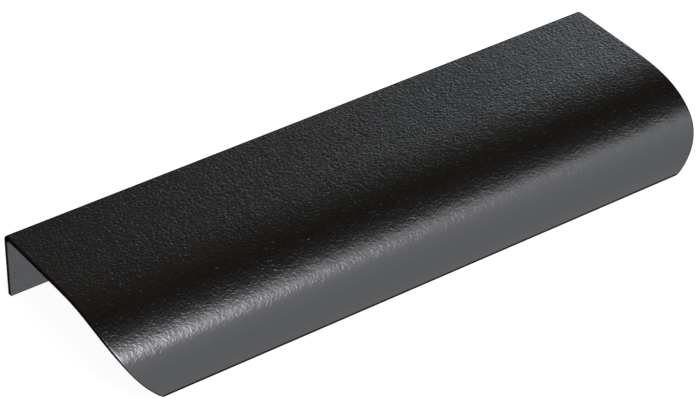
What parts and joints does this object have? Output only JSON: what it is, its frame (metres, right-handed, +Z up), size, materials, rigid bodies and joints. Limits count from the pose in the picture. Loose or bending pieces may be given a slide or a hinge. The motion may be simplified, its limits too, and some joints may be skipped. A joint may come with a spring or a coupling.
{
  "type": "edge pull",
  "caption": "Folded sheet-metal edge pull: rear screw flange, flat plate over the panel's edge and a curved finger lip with arc-trimmed ends.",
  "frame": {"origin": "midway between the two screw holes, on the face of the flange that meets the back of the panel", "axes": "+X along the pull, -Y towards the front, +Z up"},
  "size_m": [0.12, 0.0378, 0.0127],
  "materials": {
    "powder_coat": "fine-textured satin powder coat"
  },
  "bodies": {
    "root": {"edge_pull": "powder_coat"}
  },
  "joints": []
}
